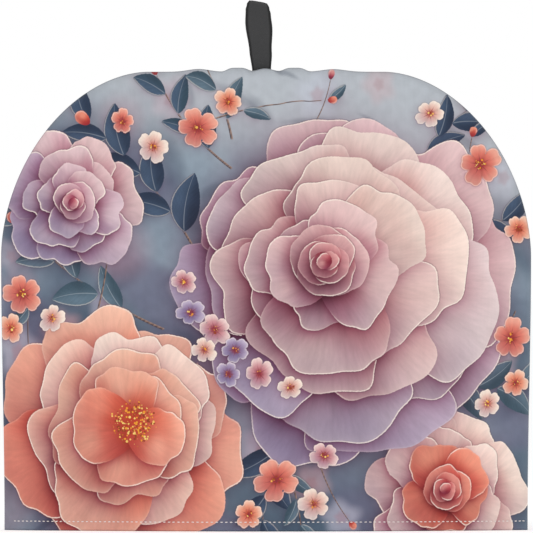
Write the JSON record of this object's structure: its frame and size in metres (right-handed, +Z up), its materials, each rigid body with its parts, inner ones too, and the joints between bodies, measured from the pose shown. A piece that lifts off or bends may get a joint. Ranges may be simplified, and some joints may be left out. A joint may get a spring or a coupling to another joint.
{
  "type": "tea cosy",
  "caption": "Padded tea cosy: two printed cloth panels sewn along a rounded arch, open at the stitched hem, with a folded tape hanging loop in the top seam.",
  "frame": {"origin": "on the surface that the cosy stands on, under the middle of the hem", "axes": "+X to the right of the front panel, -Y out of the front panel, +Z up to the hanging loop"},
  "size_m": [0.31, 0.108, 0.3099],
  "materials": {
    "printed_cloth": "matt, slightly slubbed plain-weave polyester cotton with a soft floral print",
    "loop_tape": "matt charcoal woven tape"
  },
  "bodies": {
    "root": {"front_panel": "printed_cloth", "back_panel": "printed_cloth", "hanging_loop": "loop_tape"}
  },
  "joints": []
}
